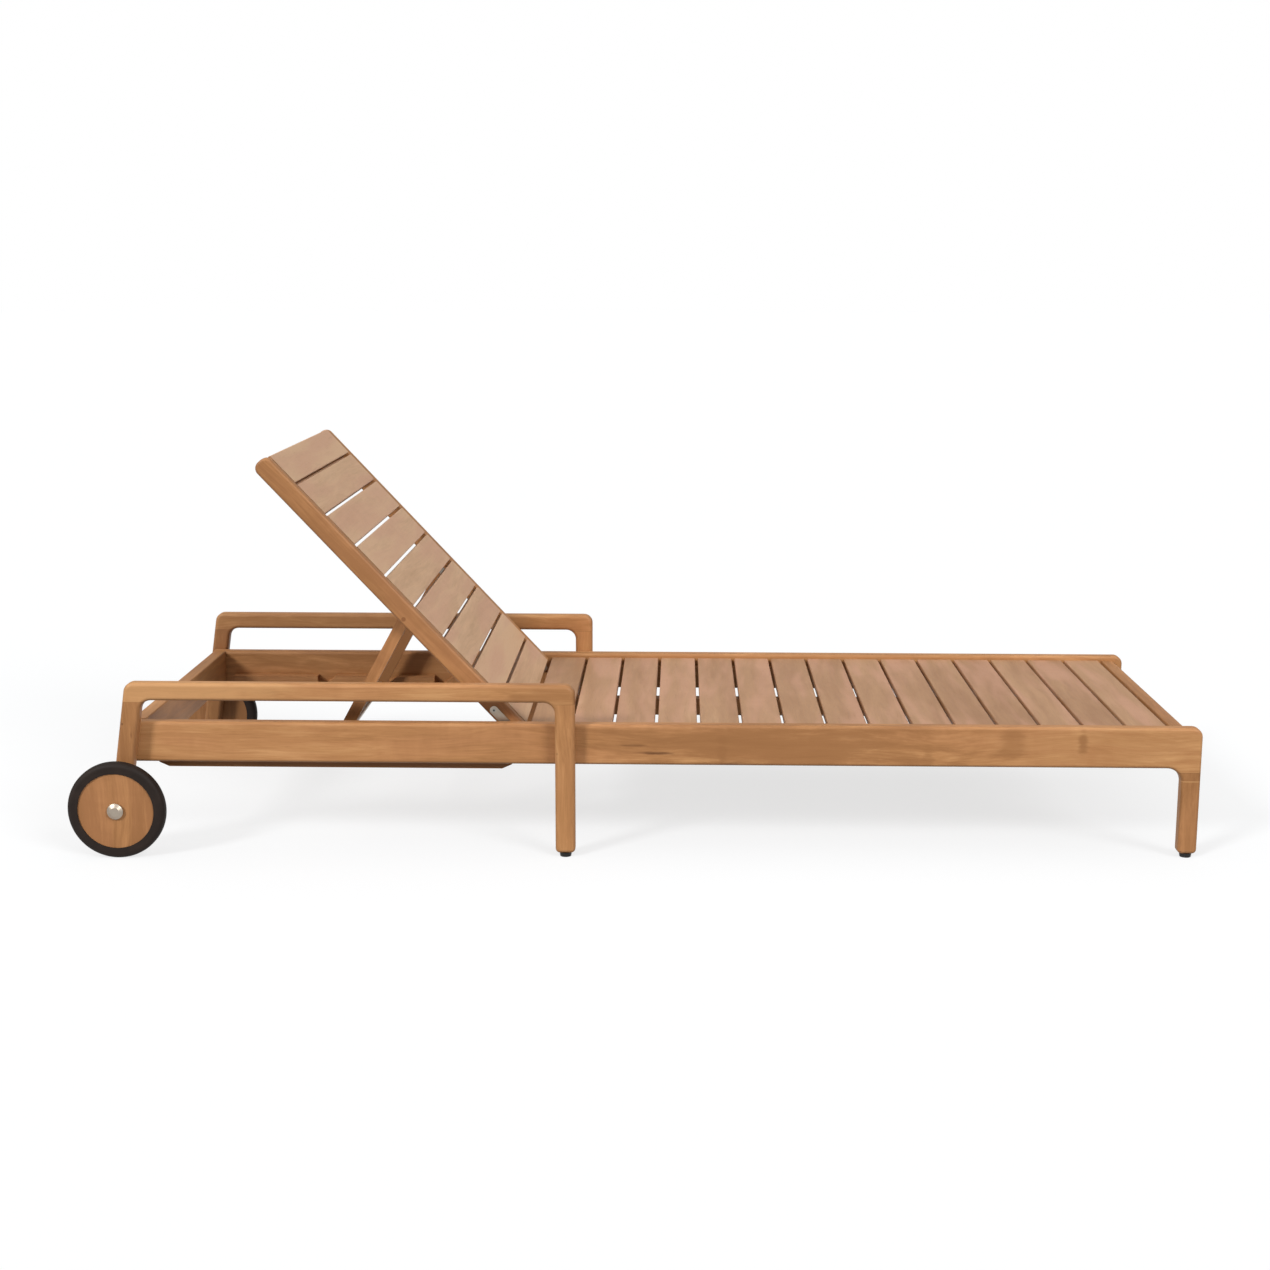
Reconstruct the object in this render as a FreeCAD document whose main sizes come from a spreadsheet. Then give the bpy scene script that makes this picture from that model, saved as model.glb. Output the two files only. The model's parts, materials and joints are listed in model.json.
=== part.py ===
import FreeCAD, Part
import os

# Adjustable slatted sun lounger. +X points to the foot end, +Z up, the origin lies on the
# floor under the middle of the length. Right is -Y, left is +Y. Millimetres and degrees.

SIZES = {
    # overall
    "overall_length": 1995.0,
    "inside_width": 599.0,
    # side rails and foot legs
    "rail_top": 236.3,
    "rail_height": 73.2,
    "rail_thickness": 26.0,
    "rail_head_inset": 15.3,
    "rail_edge": 6.0,
    "foot_leg_width": 33.5,
    "knee_outer_radius": 16.5,
    "knee_inner_radius": 26.0,
    "foot_joint_drop": 7.0,
    "leg_tip_radius": 8.0,
    # armrest frames
    "arm_top": 311.8,
    "arm_depth": 32.0,
    "arm_thickness": 26.0,
    "arm_edge": 7.0,
    "arm_past_hinge": 100.1,
    "arm_leg_width": 35.0,
    "arm_outer_radius": 18.0,
    "arm_inner_radius": 20.0,
    "arm_joint_drop": 2.3,
    "rear_leg_slant_angle": 8.65,
    "rear_leg_width": 33.0,
    "rear_leg_end_radius": 14.0,
    # crossbars, bearer and cleats
    "crossbar_thickness": 25.0,
    "head_crossbar_height": 70.0,
    "mid_crossbar_height": 36.0,
    "mid_crossbar_setback": 6.5,
    "mid_crossbar_gap": 1.0,
    "foot_bar_width": 29.0,
    "foot_bar_inset": 15.5,
    "foot_bar_height": 34.0,
    "foot_bar_radius": 11.0,
    "bearer_thickness": 25.0,
    "bearer_height": 32.0,
    "cleat_size": 20.0,
    # slats
    "seat_recess": 9.0,
    "seat_start": 17.2,
    "slat_thickness": 15.0,
    "slat_gap": 6.0,
    "slat_end_gap": 0.5,
    "slat_edge_radius": 2.5,
    # backrest
    "recline_angle": 46.9,
    "back_reach": 665.5,
    "back_end_gap": 2.1,
    "back_side_gap": 4.0,
    "hinge_depth": 22.0,
    "stile_depth": 34.0,
    "stile_thickness": 22.5,
    "stile_start": 9.0,
    "stile_tip_radius": 14.0,
    "stile_edge": 4.5,
    "back_slat_gap": 5.5,
    "back_slat_start": 8.0,
    "back_slat_top_inset": 4.3,
    "low_slat_trim": 7.0,
    "top_slat_trim": 5.5,
    # hinges
    "strap_thickness": 2.5,
    "strap_width": 15.0,
    "strap_reach": 67.4,
    "strap_screw_step": 40.0,
    "screw_head_radius": 4.2,
    "screw_head_height": 1.0,
    "screw_radius": 2.2,
    "screw_length": 14.0,
    "hinge_pin_radius": 4.0,
    "hinge_pin_bite": 16.0,
    # prop and racks
    "prop_pivot_reach": 294.3,
    "prop_pivot_depth": 26.0,
    "prop_top_angle": 79.2,
    "prop_leg_width": 20.5,
    "prop_leg_thickness": 20.0,
    "prop_side_gap": 1.0,
    "prop_bolt_radius": 4.0,
    "pivot_plug_depth": 6.0,
    "bolt_head_radius": 7.0,
    "bolt_head_height": 2.4,
    "rod_radius": 6.5,
    "rod_end_gap": 0.5,
    "rod_seat_gap": 0.4,
    "rack_thickness": 21.5,
    "rack_drop": 48.0,
    "rack_height": 40.0,
    "rack_head_inset": 44.5,
    "rack_hinge_gap": 14.6,
    "rack_chamfer_length": 18.0,
    "rack_chamfer_height": 8.0,
    "notch_depth": 18.0,
    "notch_ramp": 26.0,
    "low_recline_angle": 31.0,
    "high_recline_angle": 55.8,
    # wheels
    "wheel_radius": 86.7,
    "tyre_width": 24.0,
    "tyre_shoulder": 9.0,
    "disc_radius": 67.5,
    "disc_thickness": 20.0,
    "bush_radius": 12.0,
    "axle_radius": 8.0,
    "axle_cover": 6.0,
    "wheel_leg_gap": 3.5,
    "bush_end_gap": 0.5,
    "cap_radius": 14.2,
    "cap_height": 6.0,
    "cap_rim": 2.0,
    "cap_flat_radius": 7.8,
    # small pieces
    "glide_radius": 11.0,
    "glide_foot_radius": 9.7,
    "glide_height": 7.5,
    "leg_dowel_radius": 3.5,
    "leg_dowel_bite": 14.0,
    "leg_dowel_step": 33.0,
    "leg_dowel_inset": 8.5,
    "running_gap": 0.05,
}

SEAT_SLATS = 15
BACK_SLATS = 9

doc = FreeCAD.newDocument("sun_lounger")
sheet = doc.addObject("Spreadsheet::Sheet", "Sizes")
for row, (alias, size) in enumerate(SIZES.items(), start=1):
    sheet.set(f"A{row}", alias)
    sheet.set(f"B{row}", str(size))
    sheet.setAlias(f"B{row}", alias)
doc.recompute()


def size(name):
    return f"Sizes.{name}"


def value(expression):
    return float(sheet.evalExpression(expression))


# Places that several pieces share, written as expressions on the sheet.
FAR = size("overall_length")
FOOT_X = f"({size('overall_length')} / 2)"
AXLE_X = f"({size('wheel_radius')} - {size('overall_length')} / 2)"
AXLE_Z = size("wheel_radius")
RAIL_HEAD_X = f"({AXLE_X} + {size('rail_head_inset')})"
RAIL_TOP = size("rail_top")
RAIL_BOTTOM = f"({RAIL_TOP} - {size('rail_height')})"
RAIL_INNER = f"({size('inside_width')} / 2)"
RAIL_OUTER = f"({RAIL_INNER} + {size('rail_thickness')})"
ARM_OUTER = f"({RAIL_OUTER} + {size('arm_thickness')})"
ARM_BOTTOM = f"({size('arm_top')} - {size('arm_depth')})"
ARM_JOINT_Z = f"({ARM_BOTTOM} - {size('arm_joint_drop')})"
FOOT_JOINT_Z = f"({RAIL_BOTTOM} - {size('foot_joint_drop')})"
SEAT_TOP = f"({RAIL_TOP} - {size('seat_recess')})"
SEAT_UNDERSIDE = f"({SEAT_TOP} - {size('slat_thickness')})"
CROSSBAR_INNER_X = f"({RAIL_HEAD_X} + {size('crossbar_thickness')})"
HINGE_X = f"({CROSSBAR_INNER_X} + {size('back_end_gap')} + {size('back_reach')})"
HINGE_Z = f"({SEAT_TOP} - {size('hinge_depth')})"
ARM_FRONT_X = f"({HINGE_X} + {size('arm_past_hinge')})"
SEAT_X = f"({HINGE_X} + {size('seat_start')})"
FOOT_BAR_X = f"({FOOT_X} - {size('foot_bar_inset')} - {size('foot_bar_width')})"
SEAT_PITCH = f"(({FOOT_BAR_X} - {SEAT_X}) / {SEAT_SLATS})"
SLAT_HALF = f"({RAIL_INNER} - {size('slat_end_gap')})"
STILE_OUTER = f"({RAIL_INNER} - {size('back_side_gap')})"
STILE_INNER = f"({STILE_OUTER} - {size('stile_thickness')})"
STILE_BOTTOM = f"({size('hinge_depth')} - {size('stile_depth')})"
PROP_OUTER = f"({STILE_INNER} - {size('prop_side_gap')})"
PROP_INNER = f"({PROP_OUTER} - {size('prop_leg_thickness')})"
PIVOT_RISE = f"({size('hinge_depth')} - {size('prop_pivot_depth')})"
RACK_TOP = f"({RAIL_TOP} - {size('rack_drop')})"
RACK_INNER = f"({RAIL_INNER} - {size('rack_thickness')})"
NOTCH_FLOOR = f"({RACK_TOP} - {size('notch_depth')})"
ROD_Z = f"({NOTCH_FLOOR} + {size('rod_radius')} + {size('rod_seat_gap')})"
WHEEL_INNER = f"({ARM_OUTER} + {size('wheel_leg_gap')})"
WHEEL_OUTER = f"({WHEEL_INNER} + {size('tyre_width')})"


def pivot_at(angle):
    along, rise = size("prop_pivot_reach"), PIVOT_RISE
    turn = f"({angle} * 1 deg)"
    pivot_x = f"({HINGE_X} - {along} * cos({turn}) + {rise} * sin({turn}))"
    pivot_z = f"({HINGE_Z} + {along} * sin({turn}) + {rise} * cos({turn}))"
    return pivot_x, pivot_z


# The prop is as long as the highest position needs, where it stands at its steepest.
HIGH_PIVOT_Z = pivot_at(size("high_recline_angle"))[1]
PROP_LENGTH = f"(({HIGH_PIVOT_Z} - {ROD_Z}) / sin({size('prop_top_angle')} * 1 deg))"


def rod_x_at(angle):
    pivot_x, pivot_z = pivot_at(angle)
    return f"({pivot_x} - sqrt({PROP_LENGTH} ^ 2 - ({pivot_z} - {ROD_Z}) ^ 2))"


PIVOT_X, PIVOT_Z = pivot_at(size("recline_angle"))
PROP_TILT = f"(asin(({PIVOT_Z} - {ROD_Z}) / {PROP_LENGTH}) / 1 deg)"


def rear_leg_x(height):
    return f"({AXLE_X} + ({height} - {AXLE_Z}) * tan({size('rear_leg_slant_angle')} * 1 deg))"


# Side helpers: a piece between two half widths, as its highest Y and its depth.
def side_span(side, inner, outer):
    depth = f"({outer} - {inner})"
    return (f"(-{inner})", depth) if side == "right" else (outer, depth)


def across(half):
    return half, f"(2 * {half})"


pieces = []


def keep(piece, label):
    piece.Label = label
    pieces.append(piece)
    return piece


def tie(item, **links):
    for path, expression in links.items():
        item.setExpression(path.replace("__", "."), expression)


def place(item, x="0", y="0", z="0", turn=None):
    if turn is not None:
        item.Placement = FreeCAD.Placement(FreeCAD.Vector(), FreeCAD.Rotation(FreeCAD.Vector(0, 1, 0), 1))
        tie(item, Placement__Rotation__Angle=turn)
    tie(item, Placement__Base__x=x, Placement__Base__y=y, Placement__Base__z=z)


def new_sketch(body, plane_role):
    sketch = body.newObject("Sketcher::SketchObject", "outline")
    plane = next(item for item in body.Origin.OriginFeatures if item.Role == plane_role)
    sketch.AttachmentSupport = [(plane, "")]
    sketch.MapMode = "FlatFace"
    return sketch


def draw_polygon(sketch, corners):
    import Sketcher
    points = [FreeCAD.Vector(value(u), value(v), 0) for u, v in corners]
    count = len(points)
    for index in range(count):
        sketch.addGeometry(Part.LineSegment(points[index], points[(index + 1) % count]))
    for index in range(count):
        sketch.addConstraint(Sketcher.Constraint("Coincident", index, 2, (index + 1) % count, 1))
    for index, (u, v) in enumerate(corners):
        for kind, expression in (("DistanceX", u), ("DistanceY", v)):
            name = f"{kind}_{index}"
            link = Sketcher.Constraint(kind, -1, 1, index, 1, value(expression))
            number = sketch.addConstraint(link)
            sketch.renameConstraint(number, name)
            sketch.setExpression(f"Constraints.{name}", expression)


def edge_names(shape, wanted):
    return [f"Edge{number}" for number, edge in enumerate(shape.Edges, start=1) if wanted(edge)]


def round_edges(body, feature, wanted, radius):
    doc.recompute()
    fillet = body.newObject("PartDesign::Fillet", "rounding")
    fillet.Base = (feature, edge_names(feature.Shape, wanted))
    tie(fillet, Radius=radius)
    return fillet


def upright_edge_at(u, v):
    spot = FreeCAD.Vector(value(u), 0, value(v))

    def wanted(edge):
        ends = [vertex.Point for vertex in edge.Vertexes]
        return len(ends) == 2 and all(abs(end.x - spot.x) + abs(end.z - spot.z) < 0.01 for end in ends)

    return wanted


def any_of(tests):
    return lambda edge: any(test(edge) for test in tests)


# A board cut to a side outline (X, Z) and as thick as its span in Y.
def board(label, corners, span, rounds=None, soft=None, origin=("0", "0"), turn=None):
    top, depth = span
    body = doc.addObject("PartDesign::Body", label)
    sketch = new_sketch(body, "XZ_Plane")
    draw_polygon(sketch, corners)
    feature = body.newObject("PartDesign::Pad", "thickness")
    feature.Profile = sketch
    tie(feature, Length=depth)
    for radius, indices in (rounds or {}).items():
        feature = round_edges(body, feature, any_of([upright_edge_at(*corners[i]) for i in indices]), radius)
    if soft:
        thickness = value(depth)

        def along_face(edge):
            box = edge.BoundBox
            return box.YLength < 0.001 and (abs(box.YMin) < 0.001 or abs(box.YMin + thickness) < 0.001)

        feature = round_edges(body, feature, along_face, soft)
    place(body, origin[0], top, origin[1], turn)
    return body


# One piece of a shaped frame: what lies between two places along X and two heights.
def sawn(label, frame, x_from, x_to, z_from, z_to):
    stretch = doc.addObject("Part::Box", f"{label}_stretch")
    tie(stretch, Length=f"({x_to} - {x_from})", Width=f"(2 * {FAR})", Height=f"({z_to} - {z_from})")
    place(stretch, x_from, f"(-{FAR})", z_from)
    piece = doc.addObject("Part::Common", label)
    piece.Base = frame
    piece.Tool = stretch
    return piece


# A slat: a small rectangle in side view, long in Y, with its four long edges eased.
def slat(label, left, right, bottom, top, half, radius, origin=("0", "0"), turn=None):
    corners = [(left, bottom), (right, bottom), (right, top), (left, top)]
    return board(label, corners, across(half), {radius: range(4)}, origin=origin, turn=turn)


# A turned piece: an outline in (Y, distance from the axle), spun about the axle line.
def turned(label, corners, x, z, rounds=None):
    body = doc.addObject("PartDesign::Body", label)
    sketch = new_sketch(body, "YZ_Plane")
    draw_polygon(sketch, corners)
    feature = body.newObject("PartDesign::Revolution", "turning")
    feature.Profile = sketch
    feature.ReferenceAxis = (sketch, ["H_Axis"])
    feature.Angle = 360
    for radius, indices in (rounds or {}).items():
        rims = [(value(corners[i][0]), value(corners[i][1])) for i in indices]

        def wanted(edge, rims=rims):
            box = edge.BoundBox
            return any(box.YLength < 0.001 and abs(box.YMin - y) < 0.01 and abs(box.ZMax - r) < 0.01 for y, r in rims)

        feature = round_edges(body, feature, wanted, radius)
    place(body, x, "0", z)
    return body


# A round bar along Y, from one Y for a length.
def round_bar(x, z, start, length, radius, name="round_bar"):
    bar = doc.addObject("Part::Cylinder", name)
    bar.Placement = FreeCAD.Placement(FreeCAD.Vector(), FreeCAD.Rotation(FreeCAD.Vector(1, 0, 0), -90))
    tie(bar, Radius=radius, Height=length)
    tie(bar, Placement__Base__x=x, Placement__Base__y=start, Placement__Base__z=z)
    return bar


def side_bar(side, x, z, inner, outer, radius):
    top, depth = side_span(side, inner, outer)
    return round_bar(x, z, f"({top} - {depth})", depth, radius)


def grouped(label, members):
    group = doc.addObject("Part::Compound", label)
    group.Links = members
    return group


def joined(members):
    fused = doc.addObject("Part::MultiFuse", "joined")
    fused.Shapes = members
    return fused


def drilled(label, blank, drills):
    blank.Label = f"{label}_blank"
    cut = doc.addObject("Part::Cut", label)
    cut.Base = blank
    cut.Tool = grouped(f"{label}_drills", drills)
    return cut


def with_gap(radius):
    return f"({radius} + {size('running_gap')})"


SIDES = ("right", "left")

# Blind dowels that join the arm legs to the rails: heights, and their place along X.
LEG_DOWEL_Z = [
    f"({RAIL_BOTTOM} + ({size('rail_height')} - {size('leg_dowel_step')}) / 2)",
    f"({RAIL_BOTTOM} + ({size('rail_height')} + {size('leg_dowel_step')}) / 2)",
]
FRONT_LEG_X = f"({ARM_FRONT_X} - {size('arm_leg_width')} / 2)"
REAR_DOWEL_X = f"({RAIL_HEAD_X} + {size('leg_dowel_inset')})"
LEG_DOWELS = [(x, z) for x in (FRONT_LEG_X, REAR_DOWEL_X) for z in LEG_DOWEL_Z]
DOWEL_INNER = f"({RAIL_OUTER} - {size('leg_dowel_bite')})"
DOWEL_OUTER = f"({RAIL_OUTER} + {size('leg_dowel_bite')})"
AXLE_INNER = f"({RAIL_OUTER} + {size('axle_cover')})"

# Side frames, each sawn below the knee into a long rail and a foot leg.
for side in SIDES:
    knee_inner_x = f"({FOOT_X} - {size('foot_leg_width')})"
    outline = [
        (RAIL_HEAD_X, RAIL_BOTTOM),
        (knee_inner_x, RAIL_BOTTOM),
        (knee_inner_x, size("glide_height")),
        (FOOT_X, size("glide_height")),
        (FOOT_X, RAIL_TOP),
        (RAIL_HEAD_X, RAIL_TOP),
    ]
    rounds = {size("knee_inner_radius"): [1], size("knee_outer_radius"): [4], size("leg_tip_radius"): [2, 3]}
    side_frame = board(f"{side}_side_frame", outline, side_span(side, RAIL_INNER, RAIL_OUTER), rounds,
                       soft=size("rail_edge"))
    pin_end = f"({RAIL_INNER} + {size('hinge_pin_bite')})"
    drills = [side_bar(side, HINGE_X, HINGE_Z, RAIL_INNER, pin_end, with_gap(size("hinge_pin_radius")))]
    for x, z in LEG_DOWELS:
        drills.append(side_bar(side, x, z, DOWEL_INNER, RAIL_OUTER, with_gap(size("leg_dowel_radius"))))
    rail = sawn(f"{side}_side_rail", side_frame, f"(-{FAR})", FAR, FOOT_JOINT_Z, FAR)
    keep(drilled(f"{side}_side_rail", rail, drills), f"{side}_side_rail")
    keep(sawn(f"{side}_foot_leg", side_frame, f"(-{FAR})", FAR, "0", FOOT_JOINT_Z), f"{side}_foot_leg")

# Armrest frames, each sawn under the arm into the arm rail, an upright and a slanting leg.
rear_half = f"({size('rear_leg_width')} / 2)"
rear_end = f"({AXLE_Z} - {rear_half})"
for side in SIDES:
    front_inner_x = f"({ARM_FRONT_X} - {size('arm_leg_width')})"
    outline = [
        (f"({rear_leg_x(rear_end)} - {rear_half})", rear_end),
        (f"({rear_leg_x(rear_end)} + {rear_half})", rear_end),
        (f"({rear_leg_x(ARM_BOTTOM)} + {rear_half})", ARM_BOTTOM),
        (front_inner_x, ARM_BOTTOM),
        (front_inner_x, size("glide_height")),
        (ARM_FRONT_X, size("glide_height")),
        (ARM_FRONT_X, size("arm_top")),
        (f"({rear_leg_x(size('arm_top'))} - {rear_half})", size("arm_top")),
    ]
    rounds = {
        size("rear_leg_end_radius"): [0, 1],
        size("arm_inner_radius"): [2, 3],
        size("leg_tip_radius"): [4, 5],
        size("arm_outer_radius"): [6, 7],
    }
    arm_frame = board(f"{side}_arm_frame", outline, side_span(side, RAIL_OUTER, ARM_OUTER), rounds,
                      soft=size("arm_edge"))
    keep(sawn(f"{side}_arm_rail", arm_frame, f"(-{FAR})", FAR, ARM_JOINT_Z, FAR), f"{side}_arm_rail")
    front = sawn(f"{side}_arm_front_leg", arm_frame, HINGE_X, FAR, "0", ARM_JOINT_Z)
    rear = sawn(f"{side}_arm_rear_leg", arm_frame, f"(-{FAR})", HINGE_X, "0", ARM_JOINT_Z)
    for name, leg, dowels in (("front", front, LEG_DOWELS[:2]), ("rear", rear, LEG_DOWELS[2:])):
        drills = []
        for x, z in dowels:
            drills.append(side_bar(side, x, z, RAIL_OUTER, DOWEL_OUTER, with_gap(size("leg_dowel_radius"))))
        if name == "rear":
            drills.append(side_bar(side, AXLE_X, AXLE_Z, AXLE_INNER, ARM_OUTER, with_gap(size("axle_radius"))))
        keep(drilled(f"{side}_arm_{name}_leg", leg, drills), f"{side}_arm_{name}_leg")

leg_dowels = []
for side in SIDES:
    for x, z in LEG_DOWELS:
        leg_dowels.append(side_bar(side, x, z, DOWEL_INNER, DOWEL_OUTER, size("leg_dowel_radius")))
keep(grouped("arm_leg_dowels", leg_dowels), "arm_leg_dowels")

# Crossbars between the rails. The middle one lies under the gap between back and seat.
head_bottom = f"({RAIL_TOP} - {size('head_crossbar_height')})"
keep(slat("head_crossbar", RAIL_HEAD_X, CROSSBAR_INNER_X, head_bottom, RAIL_TOP, RAIL_INNER,
          size("slat_edge_radius")), "head_crossbar")
mid_bar_x = f"({HINGE_X} - {size('mid_crossbar_setback')})"
MID_BAR_END_X = f"({mid_bar_x} + {size('crossbar_thickness')})"
mid_top = f"({HINGE_Z} - {size('strap_width')} / 2 - {size('mid_crossbar_gap')})"
mid_bottom = f"({mid_top} - {size('mid_crossbar_height')})"
keep(slat("mid_crossbar", mid_bar_x, MID_BAR_END_X, mid_bottom, mid_top, RAIL_INNER,
          size("slat_edge_radius")), "mid_crossbar")
foot_bar_end_x = f"({FOOT_BAR_X} + {size('foot_bar_width')})"
foot_bar = [
    (FOOT_BAR_X, f"({SEAT_TOP} - {size('foot_bar_height')})"),
    (foot_bar_end_x, f"({SEAT_TOP} - {size('foot_bar_height')})"),
    (foot_bar_end_x, SEAT_TOP),
    (FOOT_BAR_X, SEAT_TOP),
]
keep(board("foot_end_bar", foot_bar, across(RAIL_INNER),
           {size("slat_edge_radius"): [0, 1, 3], size("foot_bar_radius"): [2]}), "foot_end_bar")

# What the seat slats lie on: a bearer along the middle and a cleat on each rail.
bearer = [
    (MID_BAR_END_X, f"({SEAT_UNDERSIDE} - {size('bearer_height')})"),
    (FOOT_BAR_X, f"({SEAT_UNDERSIDE} - {size('bearer_height')})"),
    (FOOT_BAR_X, SEAT_UNDERSIDE),
    (MID_BAR_END_X, SEAT_UNDERSIDE),
]
keep(board("seat_centre_bearer", bearer, across(f"({size('bearer_thickness')} / 2)")), "seat_centre_bearer")
cleats = []
cleat_bottom = f"({SEAT_UNDERSIDE} - {size('cleat_size')})"
cleat = [
    (MID_BAR_END_X, cleat_bottom),
    (FOOT_BAR_X, cleat_bottom),
    (FOOT_BAR_X, SEAT_UNDERSIDE),
    (MID_BAR_END_X, SEAT_UNDERSIDE),
]
for side in SIDES:
    span = side_span(side, f"({RAIL_INNER} - {size('cleat_size')})", RAIL_INNER)
    cleats.append(board(f"{side}_cleat", cleat, span))
keep(grouped("slat_cleats", cleats), "slat_cleats")

for number in range(SEAT_SLATS):
    left = f"({SEAT_X} + {number} * {SEAT_PITCH})"
    right = f"({left} + {SEAT_PITCH} - {size('slat_gap')})"
    label = f"seat_slat_{number + 1:02d}"
    keep(slat(label, left, right, SEAT_UNDERSIDE, SEAT_TOP, SLAT_HALF, size("slat_edge_radius")), label)

# Notched racks: a saw-tooth for each raised position, steep on the head side.
rack_bottom = f"({RACK_TOP} - {size('rack_height')})"
rack_head_x = f"({RAIL_HEAD_X} + {size('rack_head_inset')})"
rack_hinge_x = f"({HINGE_X} - {size('rack_hinge_gap')})"
chamfer_top = f"({rack_bottom} + {size('rack_chamfer_height')})"
rack = [
    (rack_head_x, chamfer_top),
    (f"({rack_head_x} + {size('rack_chamfer_length')})", rack_bottom),
    (f"({rack_hinge_x} - {size('rack_chamfer_length')})", rack_bottom),
    (rack_hinge_x, chamfer_top),
    (rack_hinge_x, RACK_TOP),
]
seat_half = f"({size('rod_radius')} + {size('rod_seat_gap')})"
for angle in (size("high_recline_angle"), size("recline_angle"), size("low_recline_angle")):
    rod_x = rod_x_at(angle)
    rack += [
        (f"({rod_x} + {seat_half} + {size('notch_ramp')})", RACK_TOP),
        (f"({rod_x} + {seat_half})", NOTCH_FLOOR),
        (f"({rod_x} - {seat_half})", NOTCH_FLOOR),
        (f"({rod_x} - {seat_half})", RACK_TOP),
    ]
rack.append((rack_head_x, RACK_TOP))
for side in SIDES:
    keep(board(f"{side}_notch_rack", rack, side_span(side, RACK_INNER, RAIL_INNER)), f"{side}_notch_rack")

# Backrest, drawn flat with the hinge line at its origin and then tilted about that line.
HINGE = (HINGE_X, HINGE_Z)
RECLINE = size("recline_angle")


def on_back(along, rise):
    turn = f"({RECLINE} * 1 deg)"
    x = f"({HINGE_X} - {along} * cos({turn}) + {rise} * sin({turn}))"
    z = f"({HINGE_Z} + {along} * sin({turn}) + {rise} * cos({turn}))"
    return x, z


STRAP_OUTER = f"({STILE_OUTER} + {size('strap_thickness')})"
STRAP_SCREWS = [size("strap_reach"), f"({size('strap_reach')} - {size('strap_screw_step')})"]
SCREW_INNER = f"({STRAP_OUTER} - {size('screw_length')})"
PIVOT = (PIVOT_X, PIVOT_Z)
for side in SIDES:
    stile = [
        (f"(-{size('back_reach')})", STILE_BOTTOM),
        (f"(-{size('stile_start')})", STILE_BOTTOM),
        (f"(-{size('stile_start')})", size("hinge_depth")),
        (f"(-{size('back_reach')})", size("hinge_depth")),
    ]
    blank = board(f"{side}_back_stile", stile, side_span(side, STILE_INNER, STILE_OUTER),
                  {size("stile_tip_radius"): [0, 3]}, soft=size("stile_edge"), origin=HINGE, turn=RECLINE)
    drills = [side_bar(side, *PIVOT, STILE_INNER, STILE_OUTER, with_gap(size("prop_bolt_radius")))]
    for along in STRAP_SCREWS:
        drills.append(side_bar(side, *on_back(along, "0"), SCREW_INNER, STILE_OUTER, with_gap(size("screw_radius"))))
    keep(drilled(f"{side}_back_stile", blank, drills), f"{side}_back_stile")

back_top = f"({size('back_reach')} - {size('back_slat_top_inset')})"
back_first = f"({size('back_slat_start')} - {size('low_slat_trim')})"
back_row = f"({back_top} + {size('top_slat_trim')} - {back_first})"
back_slat_width = f"(({back_row} - {BACK_SLATS - 1} * {size('back_slat_gap')}) / {BACK_SLATS})"
back_pitch = f"({back_slat_width} + {size('back_slat_gap')})"
for number in range(BACK_SLATS):
    low = f"({back_first} + {number} * {back_pitch})"
    high = f"({low} + {back_slat_width})"
    if number == 0:
        low = size("back_slat_start")
    if number == BACK_SLATS - 1:
        high = back_top
    label = f"back_slat_{number + 1}"
    underside = f"({size('hinge_depth')} - {size('slat_thickness')})"
    keep(slat(label, f"(-{high})", f"(-{low})", underside, size("hinge_depth"), STILE_INNER,
              size("slat_edge_radius"), HINGE, RECLINE), label)

# Strap hinges on the outer faces of the stiles, their pins in the rails, and the pivot
# bolts of the prop with wood plugs over their outer ends.
straps = []
pins = []
fasteners = []
pivot_plugs = []
plug_inner = f"({STILE_OUTER} - {size('pivot_plug_depth')})"
bolt_head = f"({PROP_INNER} - {size('bolt_head_height')})"
strap_half = f"({size('strap_width')} / 2)"
for side in SIDES:
    strap = [
        (f"(-{size('strap_reach')} - {strap_half})", f"(-{strap_half})"),
        (strap_half, f"(-{strap_half})"),
        (strap_half, strap_half),
        (f"(-{size('strap_reach')} - {strap_half})", strap_half),
    ]
    tip_radius = f"({strap_half} - {size('running_gap')})"
    plate = board(f"{side}_strap", strap, side_span(side, STILE_OUTER, STRAP_OUTER), {tip_radius: range(4)},
                  origin=HINGE, turn=RECLINE)
    eye = [side_bar(side, *HINGE, STILE_OUTER, STRAP_OUTER, with_gap(size("hinge_pin_radius")))]
    for along in STRAP_SCREWS:
        eye.append(side_bar(side, *on_back(along, "0"), STILE_OUTER, STRAP_OUTER, with_gap(size("screw_radius"))))
    straps.append(drilled(f"{side}_strap_plate", plate, eye))
    pin_end = f"({RAIL_INNER} + {size('hinge_pin_bite')})"
    pins.append(side_bar(side, *HINGE, STILE_OUTER, pin_end, size("hinge_pin_radius")))
    for along in STRAP_SCREWS:
        spot = on_back(along, "0")
        head_end = f"({STRAP_OUTER} + {size('screw_head_height')})"
        fasteners.append(joined([
            side_bar(side, *spot, SCREW_INNER, STRAP_OUTER, size("screw_radius")),
            side_bar(side, *spot, STRAP_OUTER, head_end, size("screw_head_radius")),
        ]))
    fasteners.append(joined([
        side_bar(side, *PIVOT, bolt_head, PROP_INNER, size("bolt_head_radius")),
        side_bar(side, *PIVOT, PROP_INNER, plug_inner, size("prop_bolt_radius")),
    ]))
    pivot_plugs.append(side_bar(side, *PIVOT, plug_inner, STILE_OUTER, size("prop_bolt_radius")))
keep(grouped("hinge_straps", straps), "hinge_straps")
keep(grouped("hinge_pins", pins), "hinge_pins")
keep(grouped("backrest_fasteners", fasteners), "backrest_fasteners")
keep(grouped("pivot_plugs", pivot_plugs), "pivot_plugs")

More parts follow.
